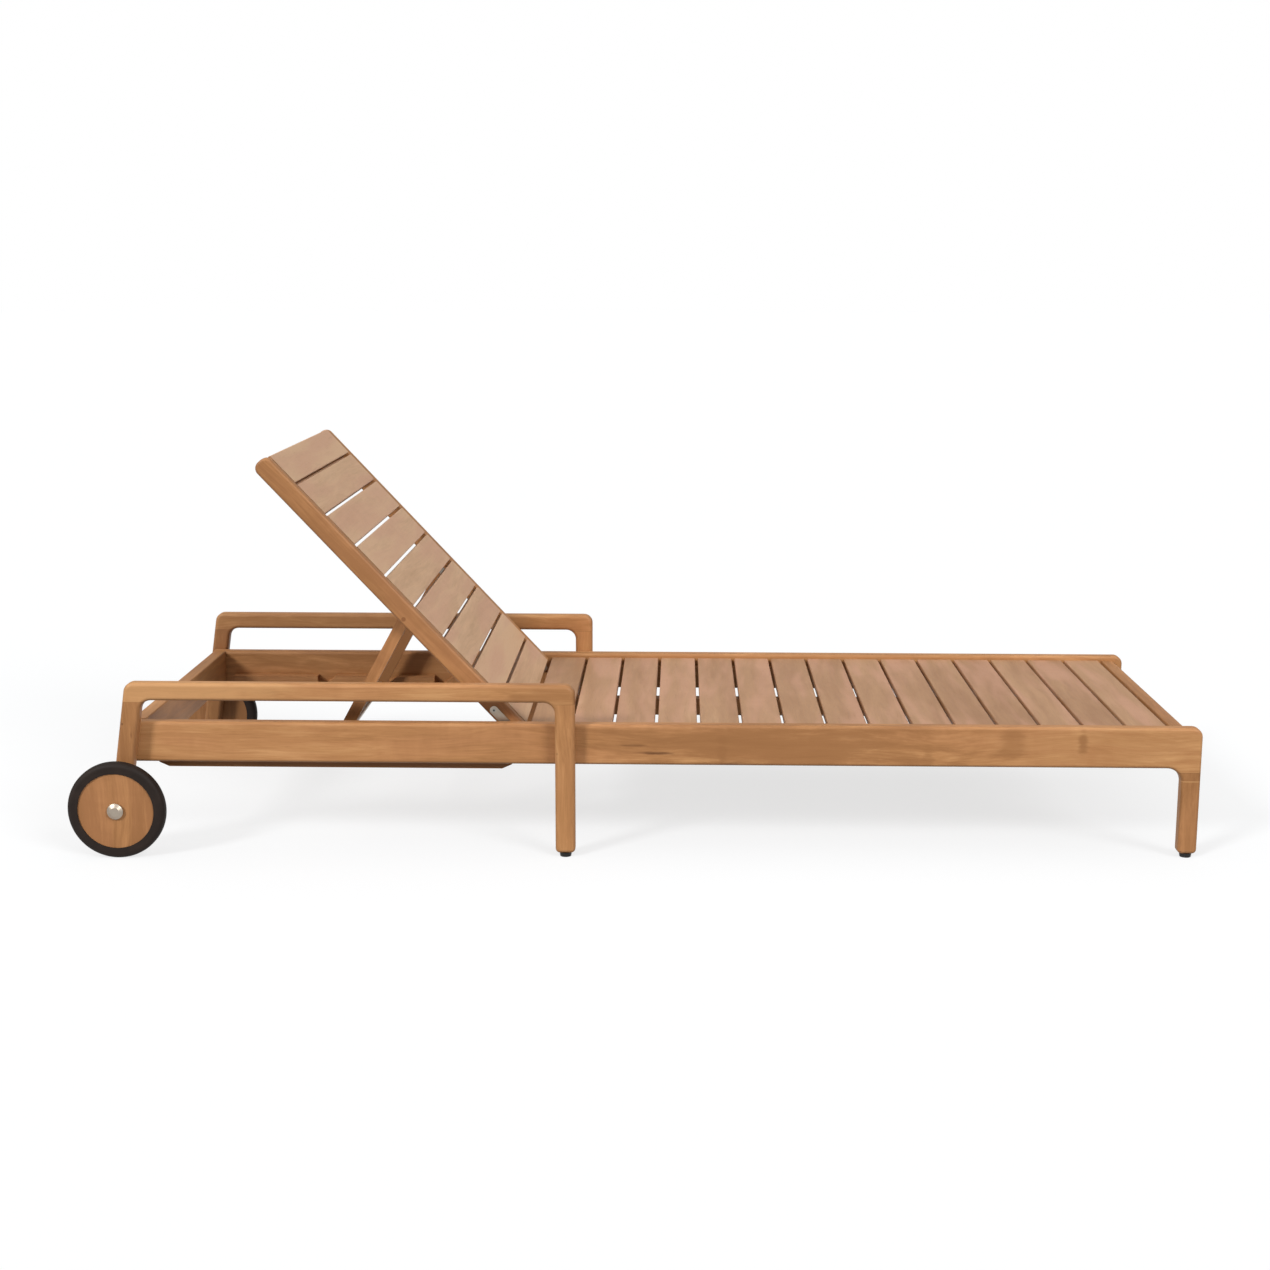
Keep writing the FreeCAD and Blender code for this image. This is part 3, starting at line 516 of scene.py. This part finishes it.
def growPiece(name, tree, inputs):  # runs a tree once and keeps its result as a plain mesh
    holder = bpy.data.objects.new(name + "Holder", bpy.data.meshes.new(name + "Holder"))
    bpy.context.scene.collection.objects.link(holder)
    modifier = holder.modifiers.new("grow", "NODES")
    modifier.node_group = tree
    for socket in tree.interface.items_tree:
        if socket.in_out == "INPUT":
            modifier[socket.identifier] = inputs[socket.name]
    holder.modifiers.new("soft", "WEIGHTED_NORMAL").keep_sharp = True
    depsgraph = bpy.context.evaluated_depsgraph_get()
    mesh = bpy.data.meshes.new_from_object(holder.evaluated_get(depsgraph), depsgraph=depsgraph)
    bpy.data.objects.remove(holder)
    piece = bpy.data.objects.new(name, mesh)
    bpy.context.scene.collection.objects.link(piece)
    mesh.name = name
    print(name, "made:", len(mesh.polygons), "faces")
    return piece


# slats

def flatBox(nodeName):  # a node's corners about the hinge, with the back laid flat
    flat = Matrix.Rotation(-recline, 3, "Y")
    points = [flat @ (vertex.co - hinge) for vertex in nodes[nodeName].data.vertices]
    return [Vector([pick(point[axis] for point in points) for axis in range(3)]) for pick in (min, max)]


def named(prefix):
    return [nodeName for nodeName in nodes if nodeName.startswith(prefix)]


seatLow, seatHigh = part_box("seat_slat_01")
seatSlats = {
    "Count": len(named("seat_slat")), "First": seatLow[0], "Pitch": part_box("seat_slat_02")[0][0] - seatLow[0],
    "Width": seatHigh[0] - seatLow[0], "First trim": 0.0, "Last trim": 0.0, "Top": seatHigh[2],
    "Length": seatHigh[1] - seatLow[1], "Thickness": seatHigh[2] - seatLow[2], "Edge": 0.0025,
    "Tilt": 0.0, "Origin": (0.0, 0.0, 0.0), "Darkest": 0.19, "Palest": 0.37, "Seed": 4,
}
lowestLow, lowestHigh = flatBox("back_slat_1")
middleLow, middleHigh = flatBox("back_slat_2")
topLow, topHigh = flatBox("back_slat_9")
backWidth = middleHigh.x - middleLow.x
backSlats = {   # along the back from its top, measured from the hinge
    "Count": len(named("back_slat")), "First": topHigh.x - backWidth,
    "Pitch": middleLow.x - flatBox("back_slat_3")[0].x, "Width": backWidth,
    "First trim": backWidth - (topHigh.x - topLow.x), "Last trim": backWidth - (lowestHigh.x - lowestLow.x),
    "Top": middleHigh.z, "Length": middleHigh.y - middleLow.y, "Thickness": middleHigh.z - middleLow.z,
    # the back's tones sit far paler than the seat's: painted light and sheen, for the light the tilted back
    # gets less of; the batten copies them
    "Edge": 0.0025, "Tilt": recline, "Origin": hinge, "Darkest": 0.74, "Palest": 1.0, "Seed": 11,
}
battenGap = 0.0001
backBatten = {   # ties the backs of the two topmost slats together
    **backSlats, "Count": 1, "First": -0.6175, "Width": 0.045, "First trim": 0.0, "Last trim": 0.0,
    "Top": middleLow.z - battenGap, "Length": 0.545, "Seed": 17,
}
slatSteps = 5   # corners in each rounded edge
slatShift = ((0.0, -0.02, -0.01), (9.0, 0.05, 0.03))   # the part of the log that a slat may come from


def slatTree(name):
    tree = Tree(name, {"Count": "Int", "Seed": "Int", "First": "Float", "Pitch": "Float", "Width": "Float",
                       "First trim": "Float", "Last trim": "Float", "Top": "Float", "Length": "Float",
                       "Thickness": "Float", "Edge": "Float", "Tilt": "Float", "Origin": "Vector",
                       "Darkest": "Float", "Palest": "Float", "Finish": "Material"})
    given = tree.given

    # one slat, lying along x, then turned to lie across the lounger
    section = tree.add("GeometryNodeCurvePrimitiveQuadrilateral", None,
                       {0: given["Width"], 1: given["Thickness"]})
    eased = tree.add("GeometryNodeFilletCurve", {"mode": "POLY"},
                     {"Curve": section, "Radius": given["Edge"], "Count": slatSteps})
    half = given["Length"] / 2
    line = tree.add("GeometryNodeCurvePrimitiveLine", None,
                    {"Start": tree.vector(half * -1, 0.0, 0.0), "End": tree.vector(half, 0.0, 0.0)})
    upright = tree.add("GeometryNodeSetCurveNormal", {"mode": "Z_UP"}, {"Curve": line})
    slat = tree.add("GeometryNodeCurveToMesh", None,
                    {"Curve": upright, "Profile Curve": eased, "Fill Caps": True})
    slat = tree.store(slat, "boardSpace", tree.add("GeometryNodeInputPosition"), "FLOAT_VECTOR", "POINT")
    slat = tree.add("GeometryNodeTransform", None, {"Geometry": slat, "Rotation": (0, 0, quarter)})

    # a row of them, whose two outer ones may be narrower
    index = tree.add("GeometryNodeInputIndex")
    firstTrim = tree.isNumber(index, 0) * given["First trim"]
    lastTrim = tree.isNumber(index, given["Count"] - 1) * given["Last trim"]
    start = tree.vector(given["First"] + given["Width"] / 2, 0.0, given["Top"] - given["Thickness"] / 2)
    row = tree.add("GeometryNodeMeshLine", {"mode": "OFFSET"},
                   {"Count": given["Count"], "Start Location": start,
                    "Offset": tree.vector(given["Pitch"], 0.0, 0.0)})
    row = tree.add("GeometryNodeSetPosition", None,
                   {"Geometry": row, "Offset": tree.vector((firstTrim - lastTrim) / 2, 0.0, 0.0)})
    narrow = 1 - (firstTrim + lastTrim) / given["Width"]
    slats = tree.add("GeometryNodeInstanceOnPoints", None,
                     {"Points": row, "Instance": slat, "Scale": tree.vector(narrow, 1.0, 1.0)})
    shift = tree.add("FunctionNodeRandomValue", {"data_type": "FLOAT_VECTOR"},
                     {0: slatShift[0], 1: slatShift[1], "Seed": given["Seed"]})
    tone = tree.add("FunctionNodeRandomValue", {"data_type": "FLOAT"},
                    {2: given["Darkest"], 3: given["Palest"], "Seed": given["Seed"] + 1}, out=1)
    slats = tree.store(slats, "boardShift", shift, "FLOAT_VECTOR", "INSTANCE")
    slats = tree.store(slats, "boardTone", tone, "FLOAT", "INSTANCE")
    slats = tree.store(slats, "boardReach", half, "FLOAT", "INSTANCE")
    slats = tree.add("GeometryNodeTransform", None,
                     {"Geometry": slats, "Translation": given["Origin"],
                      "Rotation": tree.vector(0.0, given["Tilt"], 0.0)})
    tree.close(slats)
    return tree.tree


rowTree = slatTree("slatRow")
for name, sizes, body, prefix in (("seatSlats", seatSlats, "frame", "seat_slat"),
                                  ("backSlats", backSlats, "backrest", "back_slat"),
                                  ("backBatten", backBatten, "backrest", None)):
    piece = growPiece(name, rowTree, {**sizes, "Finish": slatTeak("teak." + name)})
    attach(piece, body)
    if prefix:
        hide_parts(*named(prefix))


# floor, light and camera

stageLook = {"floorSize": 40.0, "bounceColour": (0.26, 0.26, 0.26, 1), "shownColour": (0.805, 0.82, 0.835, 1),
             "litShare": 0.3, "glow": 1.053, "backdrop": 1.0, "mirrored": 0.45, "ambient": 0.06}
white = (1, 1, 1, 1)


def seenDirectly(bench):  # camera, glossy and transmission rays
    camera = bench.add("ShaderNodeLightPath", None, None, "Is Camera Ray")
    glossy, through = (bench.other(camera, out) for out in ("Is Glossy Ray", "Is Transmission Ray"))
    return (camera + glossy + through).sum("MINIMUM", 1.0)


def makeFloor():
    size = stageLook["floorSize"]
    corners = [(-size, -size, 0), (size, -size, 0), (size, size, 0), (-size, size, 0)]
    mesh = bpy.data.meshes.new("floor")
    mesh.from_pydata(corners, [], [(0, 1, 2, 3)])
    floor = bpy.data.objects.new("floor", mesh)
    bpy.context.scene.collection.objects.link(floor)
    material, bench = newMaterial("paleFloor")
    seen = seenDirectly(bench)
    lit = bench.add("ShaderNodeBsdfDiffuse", None,
                    {"Color": bench.blend(seen, stageLook["bounceColour"], stageLook["shownColour"])})
    glow = bench.add("ShaderNodeEmission", None, {"Color": white, "Strength": stageLook["glow"]})
    share = seen * (1 - stageLook["litShare"])
    finishMaterial(bench, bench.add("ShaderNodeMixShader", None, {0: share, 1: lit, 2: glow}))
    mesh.materials.append(material)
    floor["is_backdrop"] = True


def makeWorld():
    world = bpy.data.worlds.new("studio")
    bpy.context.scene.world = world
    world.use_nodes = True
    world.node_tree.nodes.clear()
    bench = Bench(world.node_tree)
    camera = bench.add("ShaderNodeLightPath", None, None, "Is Camera Ray")
    glossy = bench.other(camera, "Is Glossy Ray")
    shown, mirrored, ambient = (
        bench.add("ShaderNodeBackground", None, {"Color": white, "Strength": stageLook[name]})
        for name in ("backdrop", "mirrored", "ambient"))
    surface = bench.add("ShaderNodeMixShader", None, {0: glossy, 1: ambient, 2: mirrored})
    surface = bench.add("ShaderNodeMixShader", None, {0: camera, 1: surface, 2: shown})
    bench.add("ShaderNodeOutputWorld", None, {"Surface": surface})


lamps = {   # where the light comes from, how wide its source looks in degrees, and its strength
    "key": ((-2.8, -3.0, 2.4), 13.0, 1.98),
    "fill": ((2.8, -3.0, 2.4), 24.0, 1.65),
    "top": ((-0.1, -0.3, 3.0), 100.0, 1.4),
}


def makeLamps():
    for name, (source, width, strength) in lamps.items():
        data = bpy.data.lights.new(name, "SUN")
        data.angle, data.energy = math.radians(width), strength
        lamp = bpy.data.objects.new(name, data)
        lamp.location = source
        lamp.rotation_euler = (-Vector(source)).to_track_quat("-Z", "Y").to_euler()
        bpy.context.scene.collection.objects.link(lamp)


view = {   # metres and radians, the focal length in the photograph's pixels, the sensor in millimetres
    "place": (0.0788, -3.5771, 1.0319), "yaw": 0.0236, "pitch": 0.1926, "roll": 0.0012,
    "focal": 1900.0, "pixels": 1270.0, "sensor": 36.0, "farthest": 100.0,
}


def makeCamera():
    yaw, pitch, roll = view["yaw"], view["pitch"], view["roll"]
    ahead = Vector((-math.sin(yaw) * math.cos(pitch), math.cos(yaw) * math.cos(pitch), -math.sin(pitch)))
    level = Vector((math.cos(yaw), math.sin(yaw), 0.0))
    rise = level.cross(ahead)
    right = math.cos(roll) * level + math.sin(roll) * rise
    up = math.cos(roll) * rise - math.sin(roll) * level
    data = bpy.data.cameras.new("camera")
    data.sensor_width = view["sensor"]
    data.lens = view["focal"] * view["sensor"] / view["pixels"]
    data.clip_end = view["farthest"]
    camera = bpy.data.objects.new("camera", data)
    turn = Matrix((right, up, -ahead)).transposed().to_4x4()
    camera.matrix_world = Matrix.Translation(view["place"]) @ turn
    bpy.context.scene.collection.objects.link(camera)
    bpy.context.scene.camera = camera


makeFloor()
makeWorld()
makeLamps()
makeCamera()
bpy.context.scene.view_settings.view_transform = "Standard"
print("stage, light and camera ready")

sizes = {"cad": [list(corner) for corner in cadBox], "visual": [list(corner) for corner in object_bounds()]}
